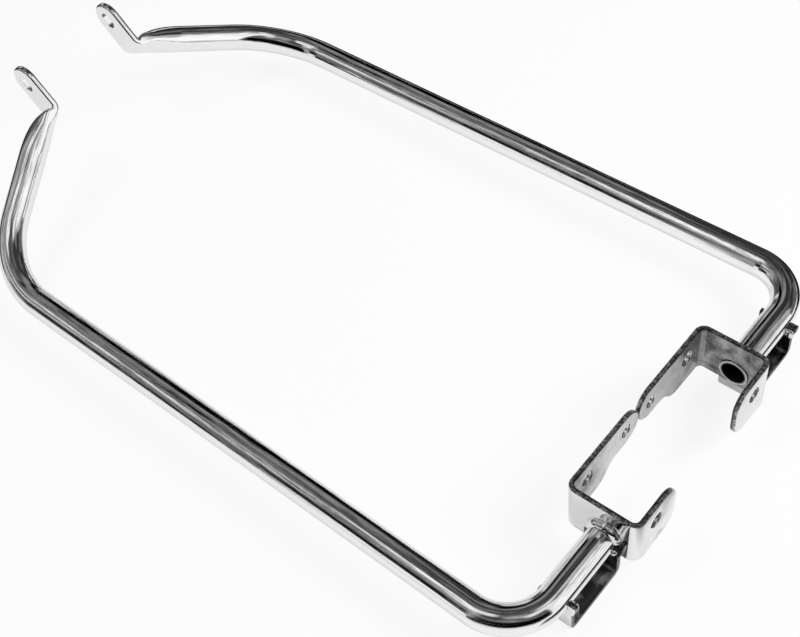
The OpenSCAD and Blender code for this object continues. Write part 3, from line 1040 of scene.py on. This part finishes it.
# The cards that the chrome mirrors, each laid over those before it. A row gives the azimuth and
# elevation of its middle, half width, half height and turn, all in degrees, then how soft its
# edges are, and its lightness as it is to look in the chrome.
CARDS = [
    (-122, 1, 30, 4, 0, 0.30, 0.86),
    (-38, 1, 8, 4, 0, 0.30, 0.84),
    (62, 0, 8, 3.5, 0, 0.30, 0.86),
    (-12, 56, 30, 8, 0, 0.40, 0.48),
    (-125, 49, 42, 7, 0, 0.40, 0.42),
    (-125, 23, 54, 17, 0, 0.12, 0.01),
    (-124, 50, 9, 3.5, 0, 0.35, 0.64),
    (-42, 34, 34, 22, 0, 0.15, 0.46),
    (95, 40, 32, 30, 0, 0.25, 0.24),
    (112, 14, 18, 10, 0, 0.35, 0.40),
    (95, 14, 6, 7, 0, 0.30, 0.12),
    (122, 46, 9, 7, 0, 0.35, 0.46),
    (-64, 26, 6, 9, 0, 0.20, 0.10),
    (-77, 28, 4, 14, 0, 0.35, 0.62),
    (-39, 42, 9, 5, 0, 0.15, 0.90),
    (-38, 24, 9, 3.5, -12, 0.30, 0.86),
    (-21, 28, 8, 17, 0, 0.30, 0.68),
    (-68, 4, 7, 9, 0, 0.20, 0.98),
    (-50, 10, 12, 5, 22, 0.25, 0.03),
    (-31, 13, 4, 3, 0, 0.25, 0.90),
    (7, 58, 10, 1.8, 0, 0.25, 0.18),
    (33, 52, 9, 6, 0, 0.40, 0.50),
    (50, 46, 9, 6, 0, 0.35, 0.55),
    (58, 36, 5, 4, 0, 0.35, 0.50),
    (24, 4, 3, 20, 0, 0.30, 0.90),
    (46, 8, 9, 14, 0, 0.15, 0.86),
    (31, 33, 15, 7, 0, 0.12, 0.02),
    (60, 18, 18, 7.5, -52, 0.12, 0.025),
    (88, 35, 9, 4, 0, 0.40, 0.46),
    (51.5, 34, 3, 6, 0, 0.25, 0.04),
    (-53, 70, 12, 11, 36, 0.12, 0.99),
    (-106, 65, 13, 6, 0, 0.30, 0.33),
    (-68, 52, 8, 4, 0, 0.25, 0.80),
    (-36, 57, 5, 3.5, 0, 0.30, 0.74),
    (-176, 61, 10, 9, 0, 0.30, 0.94),
    (135, 67, 9, 9, 0, 0.35, 0.52),
    (-143, 74, 8, 9, 0, 0.35, 0.68),
    (139, 32, 7, 12, 0, 0.35, 0.74),
    (160, 34, 13, 39, 12, 0.10, 1.0),
    (138, 55, 9, 6, 0, 0.30, 0.66),
    (144.5, 4, 3.5, 9, 0, 0.20, 0.96),
]


def surrounds(w, strength):
    return w.node("ShaderNodeBackground", {"Color": (1, 1, 1, 1), "Strength": strength}).outputs[0]


def glowing(w, strength):
    return w.node("ShaderNodeEmission", {"Color": (1, 1, 1, 1), "Strength": strength}).outputs[0]


def either(w, share, first, second):
    return w.node("ShaderNodeMixShader", {0: share, 1: first, 2: second}).outputs[0]


def light_studio():
    """White to the camera, plain light for what isn't mirrored, and the cards for what is."""
    world = bpy.data.worlds.new("studio")
    bpy.context.scene.world = world
    world.use_nodes = True
    world.node_tree.nodes.clear()
    w = Wires(world.node_tree)
    card = card_group()
    way = w.node("ShaderNodeTexCoord").outputs["Generated"]
    light = w.ranged(w.noise(way, 7.0, 4.0, 0.6), 0.3, 0.7, 0.045, 0.15)
    for azimuth, elevation, wide, high, turn, soft, lightness in CARDS:
        az, el = radians(azimuth), radians(elevation)
        middle = Vector((sin(az) * cos(el), cos(az) * cos(el), sin(el)))
        across = turned(Vector((cos(az), -sin(az), 0)), middle, -radians(turn))
        upright = across.cross(middle)
        light = w.node("ShaderNodeGroup", {
            "Way": way,
            "Under": light,
            "Middle": middle,
            "Across": across / tan(radians(wide)),
            "Upright": upright / tan(radians(high)),
            "Soft": soft,
            "Light": lightness ** 2.2,
        }, node_tree=card).outputs[0]
    path = w.node("ShaderNodeLightPath").outputs
    lit = either(w, path["Is Glossy Ray"], surrounds(w, 0.24), surrounds(w, light))
    seen = either(w, path["Is Camera Ray"], lit, surrounds(w, 1.0))
    w.node("ShaderNodeOutputWorld", {"Surface": seen})


# The paper as the chrome mirrors it: where the lit sheet fades out on the right and in front,
# and the shadow line behind the pair, with its middle, half widths and left end. Behind
# SHEET_BACK the sheet is as wide as the floor.
FLOOR_SIZE = 6.0
FLOOR_Z = -0.0004
SHEET_RIGHT = (0.211, 0.217)
SHEET_FRONT = (0.51, 0.53)
SHEET_BACK = -0.45
SHADOW_MIDDLE = -0.40
SHADOW_HALF = (0.032, 0.07)
SHADOW_LEFT = -0.18


def lay_floor():
    """A sheet of white paper, which the chrome mirrors with edges and a shadow line of its own."""
    work = bmesh.new()
    bmesh.ops.create_grid(work, x_segments=8, y_segments=8, size=FLOOR_SIZE)
    bmesh.ops.translate(work, verts=work.verts, vec=(0, 0, FLOOR_Z))
    floor = in_scene("paper_floor", as_mesh(work, "paper_floor"))
    material = bpy.data.materials.new("paper")
    material.use_nodes = True
    material.node_tree.nodes.clear()
    w = Wires(material.node_tree)
    spot = w.parts(w.node("ShaderNodeTexCoord").outputs["Object"])
    beside = w.math("MAXIMUM", w.ranged(spot["X"], *SHEET_RIGHT, 1.0, 0.0),
                    w.math("LESS_THAN", spot["Y"], SHEET_BACK))
    off_shadow = w.ranged(w.math("ABSOLUTE", w.minus(spot["Y"], SHADOW_MIDDLE)), *SHADOW_HALF)
    past_shadow = w.math("MAXIMUM", off_shadow, w.math("LESS_THAN", spot["X"], SHADOW_LEFT))
    sheet = w.times(beside, w.ranged(spot["Y"], *SHEET_FRONT, 1.0, 0.0), past_shadow)
    paper = w.node("ShaderNodeBsdfDiffuse", {"Color": (0.90, 0.90, 0.90, 1)}).outputs[0]
    mirrored_sheet = either(w, 0.5, paper, glowing(w, 0.90))
    mirrored_floor = either(w, sheet, glowing(w, 0.02), mirrored_sheet)
    path = w.node("ShaderNodeLightPath").outputs
    unseen = either(w, path["Is Glossy Ray"], paper, mirrored_floor)
    seen = either(w, w.times(path["Is Camera Ray"], 0.88), unseen, glowing(w, 1.0))
    w.node("ShaderNodeOutputMaterial", {"Surface": seen})
    floor.data.materials.append(material)


LAMP_FAR = 1.8


def add_lamps():
    """Two square soft boxes. The chrome doesn't mirror them, as the cards stand for them there."""
    for name, azimuth, elevation, size, power in (
            ("soft_behind", 152, 42, 0.9, 22.0),
            ("soft_left", -42, 66, 0.6, 8.0)):
        data = bpy.data.lights.new(name, "AREA")
        data.shape = "SQUARE"
        data.size = size
        data.energy = power
        lamp = in_scene(name, data)
        turn, rise = radians(azimuth), radians(elevation)
        way = Vector((sin(turn) * cos(rise), cos(turn) * cos(rise), sin(rise)))
        lamp.location = way * LAMP_FAR
        lamp.rotation_euler = way.to_track_quat("Z", "Y").to_euler()
        lamp.visible_glossy = False


add_camera()
light_studio()
lay_floor()
add_lamps()
bpy.context.scene.view_settings.view_transform = "Standard"
